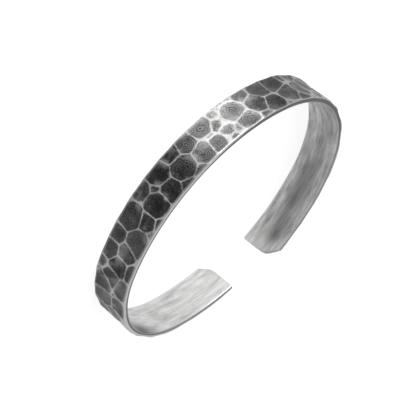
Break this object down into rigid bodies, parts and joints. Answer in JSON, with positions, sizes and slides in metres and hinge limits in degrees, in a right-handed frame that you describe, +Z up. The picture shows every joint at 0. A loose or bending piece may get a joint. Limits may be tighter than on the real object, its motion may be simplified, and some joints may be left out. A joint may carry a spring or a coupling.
{
  "type": "cuff bracelet",
  "caption": "Open oval cuff bracelet: one hammered silver strip with a smooth inner face, a mouth between its two ends and a corner snipped off each end.",
  "frame": {"origin": "under the middle of the oval footprint, on the plane of the lower rim that the cuff lies on", "axes": "+Z up along the axis of the wrist, +X along the long way of the oval, +Y towards the mouth between the two ends"},
  "size_m": [0.065, 0.0555, 0.009],
  "materials": {
    "silver": "hammered and oxidised dark in the dents of the outer face, ridges and rims polished, inner face brushed lengthwise"
  },
  "bodies": {
    "root": {"cuff_band": "silver"}
  },
  "joints": []
}
